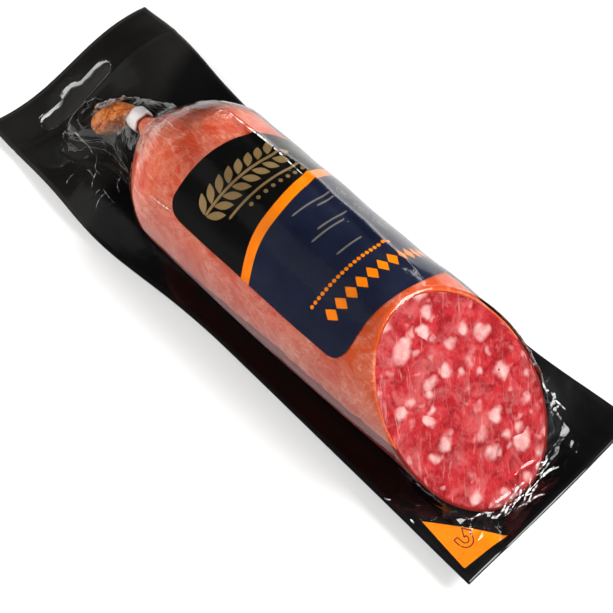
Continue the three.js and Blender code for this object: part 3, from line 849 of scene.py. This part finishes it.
def make_flap(material):
    """The tongue punched out of the slot, still held along its inner side and bent down."""
    end = SLOT_WIDTH / 2 - FLAP_GAP
    reach = SLOT_LENGTH / 2 - FLAP_GAP
    y = reach * np.sin(np.linspace(-1, 1, 61) * math.pi / 2)
    past = np.maximum(np.abs(y) - (reach - end), 0)
    edge = np.sqrt(np.maximum(end * end - past * past, 0.01))
    bump_radius = SLOT_BUMP_RADIUS - FLAP_GAP
    bump_x = SLOT_BUMP_RADIUS - SLOT_WIDTH / 2 - SLOT_BUMP
    bump = np.sqrt(np.maximum(bump_radius**2 - y * y, 0)) - bump_x
    far = np.where(np.abs(y) < bump_radius, np.maximum(edge, bump), edge)
    rows = []
    for share in np.linspace(0, 1, 10):
        across = lerp(-far, edge, share)
        hinge = SLOT_WIDTH / 2 + 0.15
        away = hinge - across
        turn = math.radians(FLAP_BEND) * smooth(0, 2.5, away)
        ragged = 0.25 * np.sin(y * 1.3) * (1 - share)
        x = SLOT_X + hinge - away * np.cos(turn)
        z = web_height(SLOT_X + across, SLOT_Y + y) - away * np.sin(turn) - 0.15 + ragged
        rows.append(np.column_stack([x, SLOT_Y + y, np.maximum(z, WEB_WALL + 0.1)]))
    grid = np.array(rows)
    sheet = slab(grid.reshape(-1, 3), grid_faces(*grid.shape[:2]), WEB_WALL)
    piece("slot_flap", *sheet, material, "web_film")


def film_height(grid, x, y):
    """Height of the film, given as rows of points, over each place."""
    x, y = np.broadcast_arrays(x, y)
    xs = grid[:, 0, 0]
    heights = np.empty(x.shape)
    for at in np.ndindex(x.shape):
        i = int(np.clip(np.searchsorted(xs, x[at]), 1, len(xs) - 1))
        before, after = (np.interp(y[at], grid[k, :, 1], grid[k, :, 2]) for k in (i - 1, i))
        heights[at] = lerp(before, after, np.clip((x[at] - xs[i - 1]) / (xs[i] - xs[i - 1]), 0, 1))
    return heights


def make_film(material):
    xs = np.concatenate([
        spread(HANG_END_X + FILM_INSET, FILM_FLAT_X, 0.8)[:-1],
        spread(FILM_FLAT_X, FULL_X, 0.5)[:-1],
        spread(FULL_X, TIP_X - 14, 0.8)[:-1],
        spread(TIP_X - 14, CUT_END_X - FILM_INSET, 0.35),
    ])
    grid = film_sheet(xs)

    def height(x, y):
        return web_height(x, y) + SEAL_LIFT

    sheet = open_slot(grid.reshape(-1, 3), grid_faces(*grid.shape[:2]), 0.7, height)
    film = piece("film", *sheet, material, "clear_film")
    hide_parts("top_film")
    return grid


# ---------------- the sausage

ANGLES = np.linspace(0, 2 * math.pi, 288, endpoint=False)
SIGNED = np.where(ANGLES > math.pi, ANGLES - 2 * math.pi, ANGLES)
SLANT_START_X = FULL_X + SLANT_START
PLEATS = 17
FINE_PLEATS = 38
PLEAT_HEIGHT = 1.1
FINE_PLEAT_HEIGHT = 0.5
PLEAT_ROOM = 1.2  # by which the meat is drawn in behind the pleats; the casing's inner wall by half of it


def pleats(x):
    """Gathers of the casing round its neck, fading out over the shoulder."""
    turned = SIGNED + 0.06 * np.sin(2 * SIGNED) + 0.012 * (x - NECK_X)
    fold = np.abs(np.sin(PLEATS / 2 * turned + 0.7 * np.sin(3 * turned))) - 0.55
    fine = np.abs(np.sin(FINE_PLEATS / 2 * turned + 1.1 * np.sin(2 * turned))) - 0.6
    reach = np.minimum(1, body_radius(x) / 14) * smooth(NECK_X - 1, NECK_X + 3, x)
    return reach * (PLEAT_HEIGHT * (1 - smooth(NECK_X + 8, NECK_X + 30, x)) * fold
                    + FINE_PLEAT_HEIGHT * (1 - smooth(NECK_X + 5, NECK_X + 18, x)) * fine)


def ring(x, radius, floor):
    return round_axis(x, radius, ANGLES, floor)


def slanted_ring(share, inset, floor, swelling=1.0):
    """Ring that stands square at share 0 and lies in the cut at share 1."""
    x = np.full(len(ANGLES), SLANT_START_X)
    for _ in range(8):
        radius = body_radius(x, inset) + swelling * swell(x, SIGNED)
        z = np.maximum(AXIS_Z + radius * np.cos(ANGLES), floor)
        x = lerp(SLANT_START_X, cut_x(z), share)
    return ring(x, radius, floor)


def tail_ring(t, inward=0.0):
    """Ring of the tail: it swells from the neck to a bulb and closes in a puckered end."""
    bulb = lerp(NECK_RADIUS, TAIL_RADIUS * 1.04, smooth(0, 0.5, t))
    radius = bulb * math.sqrt(max(0.0, 1 - max(0.0, (t - 0.62) / 0.43) ** 2.6)) - inward
    centre = tail_centre(t)
    along = unit(centre - tail_centre(t + 0.01))
    side = unit(np.cross([0, 0, 1], along))
    up = np.cross(along, side)
    turned = ANGLES + 0.9 * t
    fold = 0.10 * np.cos(7 * turned + 0.8 * np.sin(2 * turned)) + 0.06 * np.abs(np.sin(11 * turned)) - 0.03
    lump = 0.10 * noise3(stacked(np.cos(ANGLES), np.sin(ANGLES), 4 * t), 0.8, 31)
    reach = radius * (1 + smooth(0, 0.3, t) * (fold + lump))
    return centre + np.outer(reach * np.sin(ANGLES), side) + np.outer(reach * np.cos(ANGLES), up)


def make_casing(material):
    wall_floor = CASING_FLOOR + CASING_WALL
    rings = [tail_ring(0.96, TAIL_RADIUS * 0.62), tail_ring(0.985, TAIL_RADIUS * 0.36)]
    rings += [tail_ring(t) for t in np.linspace(1.01, 0.03, 40)]
    rings += [ring(x, NECK_RADIUS, CASING_FLOOR) for x in np.linspace(TAIL_START_X, NECK_X - 0.4, 10)]
    for angle in np.linspace(0, math.pi / 2, 90)[1:]:
        x = FULL_X - SHOULDER_LENGTH * math.cos(angle)
        radius = soft_max(body_radius(x), NECK_RADIUS, NECK_ROUNDING) + pleats(x) + swell(x, SIGNED)
        rings.append(ring(x, radius, CASING_FLOOR))
    rings += [slanted_ring(share, 0, CASING_FLOOR) for share in np.linspace(0, 1, 110)]
    rings += [slanted_ring(share, CASING_WALL, wall_floor) for share in np.linspace(1, 0, 12)]
    for angle in np.linspace(math.pi / 2, 0.15, 16):
        x = FULL_X - (SHOULDER_LENGTH - CASING_WALL) * math.cos(angle)
        rings.append(ring(x, body_radius(x, CASING_WALL) - PLEAT_ROOM / 2 * (x < FULL_X - 1), wall_floor))
    points, faces = loft(rings)
    turn = np.tile(SIGNED / math.pi, len(rings))
    uv = np.zeros((len(points), 2))
    uv[: len(turn), 0] = turn
    uv[:, 1] = (points[:, 0] - NECK_X) / TOP_LENGTH
    casing = piece("skin", points, faces, material, "casing", uv)
    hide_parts("casing")


def make_meat(material):
    inset = CASING_WALL + MEAT_GAP
    floor = CASING_FLOOR + inset
    rings = []
    for angle in np.linspace(0.12, math.pi / 2, 20):
        x = FULL_X - (SHOULDER_LENGTH - inset) * math.cos(angle)
        rings.append(ring(x, body_radius(x, inset) - PLEAT_ROOM * (x < FULL_X - 1), floor))
    rings += [slanted_ring(share, inset, floor) for share in np.linspace(0.02, 1, 30)]
    rim = rings[-1]
    middle = rim.mean(axis=0)
    normal = unit(np.array([1, 0, CUT_RUN]))
    for share in np.linspace(0.012, 0.985, 100):
        flat = lerp(rim, middle, share)
        drawn = flat * [0.3, 1, 0.3]
        relief = 0.16 * noise3(flat, 4.5, 21) + 0.10 * noise3(drawn, 1.6, 22) - 0.12
        rings.append(flat + np.outer(relief * smooth(0.01, 0.05, share), normal))
    meat = piece("filling", *loft(rings), material, "meat")
    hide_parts("meat")


def make_clip(material):
    """A bent strip with rounded edges, crimped at both sides, its ends nearly meeting underneath."""
    inner = NECK_RADIUS + GAP
    opening = math.asin(CLIP_SEAM / 2 / inner)
    around = np.linspace(0, 2 * math.pi, 28, endpoint=False)
    corner = 3.5
    half = np.array([CLIP_WIDTH / 2, CLIP_WALL / 2])
    outline = np.stack([np.cos(around), np.sin(around)], axis=1)
    outline = np.sign(outline) * np.abs(outline) ** (2 / corner) * half
    rows = []
    for angle in np.linspace(math.pi - opening, -math.pi + opening, 120):
        crimp = 0.35 * bell(abs(angle), 1.9, 0.22) + 0.2 * bell(abs(angle), 0.5, 0.2)
        radius = inner + CLIP_WALL / 2 - outline[:, 1] * (1 - 0.25 * crimp) + 0.15 * crimp
        x = CLIP_X + CLIP_WIDTH / 2 + outline[:, 0] * (1 + 0.08 * math.cos(5 * angle))
        y = SAUSAGE_OFFSET + radius * math.sin(angle)
        rows.append(np.column_stack([x, y, AXIS_Z + radius * math.cos(angle)]))
    clip = piece("clip_band", *loft(rows), material, "clip")
    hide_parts("clip")


# ---------------- the print


def on_sausage(x, s, lift):
    """Points on the underside of the film, at x along the sausage and s round it from the crown."""
    angle = s / SAUSAGE_RADIUS
    radius = body_radius(x) + lift + swell(x, angle) + crease(x, angle)
    return round_axis(x, radius, angle)


def on_seal(x, y, lift):
    return stacked(x, y, web_height(x, y) + lift)


def shares(rows, columns):
    return np.meshgrid(np.linspace(0, 1, rows), np.linspace(0, 1, columns), indexing="ij")


def between(low, high, start, end, pitch=0.6):
    """The region from low(s) to high(s) along, for s from start to end."""
    ends = np.array([start, end])
    longest = float(np.max(high(ends) - low(ends)))
    u, v = shares(max(4, round(longest / pitch)), round(abs(end - start) / pitch))
    s = lerp(start, end, v)
    return lerp(low(s), high(s), u), s


def bar(middle, half, start, end, corner=0.3):
    """A bar across the sausage with rounded corners."""
    u, v = shares(5, max(9, round(abs(end - start) / 0.6)))
    s = lerp(start, end, v)
    inside = np.minimum(np.minimum(s - start, end - s), corner)
    trimmed = half - corner + np.sqrt(np.maximum(corner**2 - (corner - inside) ** 2, 0))
    return middle + (2 * u - 1) * trimmed, s


def leaf(x, s, length, width, turn, point=1.0):
    """A pointed oval, or a lozenge where `point` is 0, its long axis turned from the s axis."""
    u, v = shares(5, 15)
    oval = np.sin(math.pi * v) ** 0.9
    lozenge = 1 - np.abs(2 * v - 1)
    across = (2 * u - 1) * width / 2 * lerp(lozenge, oval, point)
    along = (v - 0.5) * length
    return (x + across * math.cos(turn) - along * math.sin(turn),
            s + across * math.sin(turn) + along * math.cos(turn))


def arc(x, s, inner, outer, start=0.0, end=2 * math.pi):
    u, v = shares(3, max(12, round(outer * abs(end - start) / 0.4)))
    radius, angle = lerp(inner, outer, u), lerp(start, end, v)
    return x + radius * np.cos(angle), s + radius * np.sin(angle)


def stroke(start, end, width):
    """A straight line of ink between two places."""
    (x0, s0), (x1, s1) = start, end
    long = math.hypot(x1 - x0, s1 - s0)
    u, v = shares(3, max(4, round(long / 0.6)))
    across = (u - 0.5) * width / long
    return x0 + (x1 - x0) * v - (s1 - s0) * across, s0 + (s1 - s0) * v + (x1 - x0) * across


def printed(name, patches, surface, lift, material):
    """One piece of ink or of painted highlight, made of patches of (x, s) places, all facing up from the
    surface.
    """
    points, faces = [], []
    count = 0
    for x, s in patches:
        x, s = np.asarray(x, float), np.asarray(s, float)
        middle = x.shape[0] // 2, x.shape[1] // 2
        du = np.array([x[-1, middle[1]] - x[0, middle[1]], s[-1, middle[1]] - s[0, middle[1]]])
        dv = np.array([x[middle[0], -1] - x[middle[0], 0], s[middle[0], -1] - s[middle[0], 0]])
        quads = grid_faces(*x.shape) + count
        facing = du[0] * dv[1] - du[1] * dv[0]
        faces.append(quads if facing > 0 else quads[:, ::-1])
        points.append(surface(x, s, lift).reshape(-1, 3))
        count += x.size
    piece(name, np.vstack(points), np.vstack(faces), material, "print")


def label_tail_edge(s):
    rounding = label_corner(s)
    return LABEL_START_X + 0.0042 * np.maximum(0, s + 12) ** 2 + rounding


def label_cut_edge(s):
    wave = 0.8 * np.sin((s + 22) / 7.5) * smooth(-22, -8, s)
    return LABEL_END_X - wave - 0.7 * label_corner(s)


def label_corner(s):
    inside = np.clip(s - (LABEL_LEFT_S - 1.2), 0, LABEL_CORNER)
    return LABEL_CORNER - np.sqrt(np.maximum(LABEL_CORNER**2 - (LABEL_CORNER - inside) ** 2, 0))


def stripe_edge(s):
    bend = 1.1 * smooth(-15, -27, s) - 0.5 * bell(s, -11, 6)
    return STRIPE_X + STRIPE_SLOPE * s + bend


def on_label(name, patches, material, step=0.0):
    printed(name, patches, on_sausage, PRINT_LIFT + step, material)


def make_label():
    start, end = LABEL_LEFT_S - 1.2, LABEL_RIGHT_S
    black = ink_material("black_ink", (0.0022, 0.0022, 0.0022), (0.0042, 0.004, 0.0038))
    navy = ink_material("navy_ink", (0.0085, 0.012, 0.033), (0.0135, 0.0185, 0.046))
    orange = ink_material("orange_ink", (0.93, 0.24, 0.0), (1.0, 0.30, 0.003))
    gold = ink_material("gold_ink", (0.30, 0.19, 0.075), (0.42, 0.29, 0.13), 0.38, 0.35)
    beige = ink_material("beige_ink", (0.16, 0.15, 0.13), (0.23, 0.21, 0.18))

    def stripe_far(s):
        return stripe_edge(s) + STRIPE_WIDTH

    on_label("label_black", [between(label_tail_edge, stripe_edge, start, end)], black)
    on_label("label_stripe", [between(stripe_edge, stripe_far, start, end)], orange)
    on_label("label_navy", [between(stripe_far, label_cut_edge, start, end)], navy)
    make_gold(gold)
    make_rows(orange, beige)
    make_corner_mark(orange)


def make_gold(material):
    """A sprig with paired leaves, ruled off below: plain ornament across the black panel."""
    middle, low, high = -4.4, -19.5, 12.5
    patches = [bar(middle, 0.45, low + 1, high, 0.4)]
    for s, size in zip(np.linspace(low + 3.2, high - 2.4, 8), np.linspace(6.6, 5.0, 8)):
        patches += [leaf(middle + side * 2.9, s, size, 2.5, -side * 0.85) for side in (-1, 1)]
    patches.append(leaf(middle, high + 1.8, 5.0, 2.4, 0))
    patches.append(bar(middle + 7.0, 0.4, low + 5, high + 3, 0.35))
    patches += [arc(middle + 9.2, s, 0, 0.7) for s in np.linspace(-7, 13, 8)]
    on_label("label_gold", patches, material, INK_STEP)


def make_rows(orange, beige):
    """Rows of lozenges and dots in orange, and fine rules and rings in beige, on the navy panel."""
    lozenges_x, dots_x, rings_s = 45.6, 39.6, 20.5
    patches = [leaf(lozenges_x, s, 3.5, 4.9, 0, 0.15) for s in np.linspace(-15.5, 25, 11)]
    patches += [arc(dots_x, s, 0, 0.62) for s in np.linspace(-17.5, 14, 21)]
    on_label("label_orange", patches, orange, INK_STEP)
    rules = [(16.4, -2, 13), (18.3, 6, 13), (24.6, 0, 12), (26.5, -4, 9), (34.4, -2, 8)]
    fine = [bar(x, 0.3, start, end, 0.25) for x, start, end in rules]
    for x in (16.6, 24.2, 31.8):
        fine += [arc(x, rings_s, 2.3, 2.6), arc(x, rings_s, 0.5, 1.1)]
    on_label("label_rules", fine, beige, INK_STEP)


def wisp(x, s, length, width, turn, curl):
    """A curved sliver, tapered at both ends, `turn` being its angle from the x axis."""
    u, v = shares(3, max(6, round(length / 0.5)))
    angle = turn + curl * (v - 0.5)
    step = length / (v.shape[1] - 1)
    walk_x = np.concatenate([[0], np.cumsum(np.cos(angle[0, 1:]) * step)])
    walk_s = np.concatenate([[0], np.cumsum(np.sin(angle[0, 1:]) * step)])
    half = (u - 0.5) * width * np.sin(math.pi * (0.04 + 0.92 * v)) ** 0.7
    return x + walk_x - half * np.sin(angle), s + walk_s + half * np.cos(angle)


def glint_material(name, faintest, strongest):
    """Painted highlight: white, broken unevenly along its length, laid where creases in the clear film catch
    the light.
    """
    make = Material(name)
    broken = make.ramp(make.noise(1.6, 3, 0.6), 0.38, 0.60, faintest, strongest)
    tone = make.mix(make.noise(3, 2), (0.62, 0.62, 0.61), (0.95, 0.95, 0.94))
    white = make.node("BsdfPrincipled", {"Base Color": tone, "Roughness": 0.35, "IOR": 1.4})
    clear = make.node("BsdfTransparent")
    mixed = make.node("MixShader", {0: broken, 1: clear.outputs[0], 2: white.outputs[0]})
    return make.finish(mixed.outputs[0])


def scattered(rng, x, s, length, width, turn, curl):
    """A wisp with its length, width, turn and curl each drawn at random from a range."""
    return wisp(x, s, *(rng.uniform(*ends) for ends in (length, width, turn, curl)))


def tail_glints(rng):
    """Painted highlights on loose creases beside the tail, most of them on its -Y side, and on the edge of
    the pocket round its end.
    """
    wisps = []
    for _ in range(13):
        x = rng.uniform(TAIL_TIP_X - 1, NECK_X + 2)
        y = SAUSAGE_OFFSET - rng.uniform(6, 25)
        turn, curl = rng.uniform(-1.5, 0.1), rng.uniform(-1.8, 1.8)
        wisps.append(wisp(x, y, rng.uniform(3, 8), rng.uniform(0.15, 0.45), turn, curl))
    for _ in range(8):
        x = rng.uniform(NECK_X - 6, NECK_X + 8)
        y = SAUSAGE_OFFSET + rng.uniform(5, 13)
        wisps.append(scattered(rng, x, y, (2, 4), (0.2, 0.5), (-0.4, 0.6), (-1, 1)))
    end_x, end_y, _ = tail_centre(1.0)
    pocket = [(4, 9), (-7, 5), (-7.5, -4), (-3, -8.5), (5, -6.5)]
    for (x0, y0), (x1, y1) in zip(pocket, pocket[1:]):
        turn = math.atan2(y1 - y0, x1 - x0)
        wisps.append(wisp(end_x + x0, end_y + y0, math.hypot(x1 - x0, y1 - y0), 0.4, turn, 0.1))
    return wisps


def lip_glints(rng):
    """Painted highlights on short strong creases round the lip of the cut, and a few beside it where the
    film leaves the sausage.
    """
    wisps = []
    for _ in range(22):
        across = rng.uniform(-17, 15)
        x = TIP_X + 1.5 - 0.02 * across * across + rng.uniform(-2.5, 2.0)
        y = SAUSAGE_OFFSET + BEND * 0.8 + across
        wisps.append(scattered(rng, x, y, (2, 7), (0.25, 0.8), (1.0, 2.2), (-1, 1)))
    for _ in range(10):
        x = TIP_X - rng.uniform(12, 26)
        y = SAUSAGE_OFFSET + rng.choice([-1, 1]) * rng.uniform(26, 30)
        wisps.append(scattered(rng, x, y, (1.5, 5), (0.2, 0.6), (-0.5, 0.5), (-1, 1)))
    return wisps


def fold_glints(rng):
    """Painted highlights along the sharp fold, down the -Y side of the shoulder, and on fine creases that
    run from the clip.
    """
    wisps = [
        wisp(LABEL_START_X - 10, CREASE_S - 1.2, 34, 0.5, 0.0, 0.03),
        wisp(NECK_X + 3, -4.5, 20, 0.5, -0.75, -0.5),
        wisp(NECK_X + 5, -8.0, 24, 0.35, -1.0, 0.7),
        wisp(LABEL_START_X - 7, LABEL_LEFT_S - 1, 9, 0.4, 0.1, 0.2),
    ]
    for _ in range(16):
        x, s = rng.uniform(NECK_X + 3, NECK_X + 14), rng.uniform(-22, 14)
        fan = 0.02 * s
        wisps.append(scattered(rng, x, s, (5, 14), (0.12, 0.25), (fan - 0.15, fan + 0.15), (-0.4, 0.4)))
    return wisps


def make_glints(film):
    """Painted highlights on the creases of the film, as white slivers: round the tail, along the fold and at
    the lip of the cut.
    """
    rng = np.random.default_rng(41)
    strong = glint_material("glinting_film", 0.05, 0.95)
    faint = glint_material("lightly_glinting_film", 0.03, 0.3)

    def on_film(x, y, lift):
        return stacked(x, y, film_height(film, x, y) + lift)

    printed("glints_tail", tail_glints(rng), on_film, GLINT_LIFT, faint)
    printed("glints_lip", lip_glints(rng), on_film, GLINT_LIFT, strong)
    printed("glints_fold", fold_glints(rng), on_sausage, FILM_LIFT + GLINT_LIFT, strong)


def make_corner_mark(orange):
    """The orange corner where the pack peels open, with the outline of a turning arrow."""
    corners = np.array([[95.5, -31.6], [114.4, -16.0], [113.0, -32.8]])
    u, v = shares(24, 24)
    edge = corners[0] + (corners[1] - corners[0]) * u[..., None]
    triangle = edge + (corners[2] - edge) * (v * 0.985)[..., None]
    printed("corner_mark", [(triangle[..., 0], triangle[..., 1])], on_seal, SEAL_PRINT_LIFT, orange)
    maroon = ink_material("maroon_ink", (0.045, 0.002, 0.012), (0.065, 0.004, 0.016))
    arrow_x, arrow_y = 107.4, -26.4
    line = 0.32
    patches = [arc(arrow_x, arrow_y, radius, radius + line, -1.35, 1.5) for radius in (2.2, 0.9)]
    paths = [
        [(0.3, -2.45), (-1.9, -2.6), (-1.9, -1.2), (0.3, -1.05)],
        [(0.3, 1.05), (-0.6, 1.05)],
        [(0.3, 2.4), (-0.6, 2.4)],
        [(-0.6, 1.1), (-0.6, 0.2), (-3.0, 1.75), (-0.6, 3.3), (-0.6, 2.3)],
    ]
    for path in paths:
        places = [(arrow_x + along, arrow_y + across) for along, across in path]
        patches += [stroke(start, end, line) for start, end in zip(places, places[1:])]
    printed("corner_arrow", patches, on_seal, SEAL_PRINT_LIFT + SEAL_INK_STEP, maroon)


web_finish = web_material()
make_web(web_finish)
make_flap(web_finish)
film_grid = make_film(film_material())
make_casing(casing_material())
make_meat(meat_material())
make_clip(clip_material())
make_label()
make_glints(film_grid)

# ---------------- stage


def floor_material():
    make = Material("table")
    color = make.mix(make.noise(60, 3), (0.80, 0.797, 0.79), (0.82, 0.817, 0.81))
    roughness = make.ramp(make.noise(1.5, 2), 0.3, 0.7, 0.6, 0.75)
    return make.principled(color, roughness)


def make_floor():
    half = 8.0
    mesh = bpy.data.meshes.new("floor")
    corners = [(-half, -half, 0), (half, -half, 0), (half, half, 0), (-half, half, 0)]
    mesh.from_pydata(corners, [], [(0, 1, 2, 3)])
    mesh.materials.append(floor_material())
    floor = linked("floor", mesh)


def make_camera():
    camera = bpy.data.cameras.new("camera")
    camera.lens = 67.3
    camera.sensor_width = 36.0
    camera.clip_end = 20
    made = linked("camera", camera)
    azimuth, elevation, roll = math.radians(138.88), math.radians(-59.87), math.radians(-2.32)
    forward = Vector((
        math.cos(elevation) * math.cos(azimuth), math.cos(elevation) * math.sin(azimuth), math.sin(elevation)
    ))
    turn = forward.to_track_quat("-Z", "Y").to_matrix().to_4x4() @ Matrix.Rotation(roll, 4, "Z")
    place = Vector((154.9, -124.65, 319.25)) * MM
    made.matrix_world = Matrix.Translation(place) @ turn
    bpy.context.scene.camera = made


def area_light(name, direction, distance, size, power, mirrored=True):
    """A soft rectangular light over the pack, facing its middle."""
    light = bpy.data.lights.new(name, "AREA")
    light.shape = "RECTANGLE"
    light.size, light.size_y = size
    light.energy = power
    made = linked(name, light)
    place = Vector(direction).normalized() * distance
    made.matrix_world = Matrix.Translation(place) @ (-place).to_track_quat("-Z", "Y").to_matrix().to_4x4()
    made.visible_glossy = mirrored


def make_world():
    """A pale ring of light low round the room, and dark above it."""
    world = bpy.data.worlds.new("world")
    world.use_nodes = True
    tree = world.node_tree
    direction = tree.nodes.new("ShaderNodeTexCoord").outputs["Generated"]
    split = tree.nodes.new("ShaderNodeSeparateXYZ")
    tree.links.new(direction, split.inputs[0])
    fade = tree.nodes.new("ShaderNodeMapRange")
    fade.interpolation_type = "SMOOTHSTEP"
    for name, value in (("From Min", 0.25), ("From Max", 0.6), ("To Min", 0.2), ("To Max", 0.02)):
        fade.inputs[name].default_value = value
    tree.links.new(split.outputs["Z"], fade.inputs["Value"])
    tree.links.new(fade.outputs[0], tree.nodes["Background"].inputs["Strength"])
    tree.nodes["Background"].inputs["Color"].default_value = (1, 1, 1, 1)
    bpy.context.scene.world = world


make_floor()
make_camera()
make_world()
area_light("key", (0.42, 0.45, 0.79), 1.2, (0.6, 0.6), 20)
area_light("fill", (0.75, -0.35, 0.56), 1.1, (0.8, 0.8), 6, mirrored=False)
area_light("side_fill", (-0.42, -0.62, 0.66), 1.2, (0.9, 0.9), 15, mirrored=False)
area_light("sheen", (-0.38, -0.30, 0.87), 1.0, (0.5, 0.4), 0.12)
area_light("streak", (-0.378, 0.864, 0.334), 1.0, (0.5, 0.06), 0.6)
bpy.context.scene.view_settings.view_transform = "Standard"
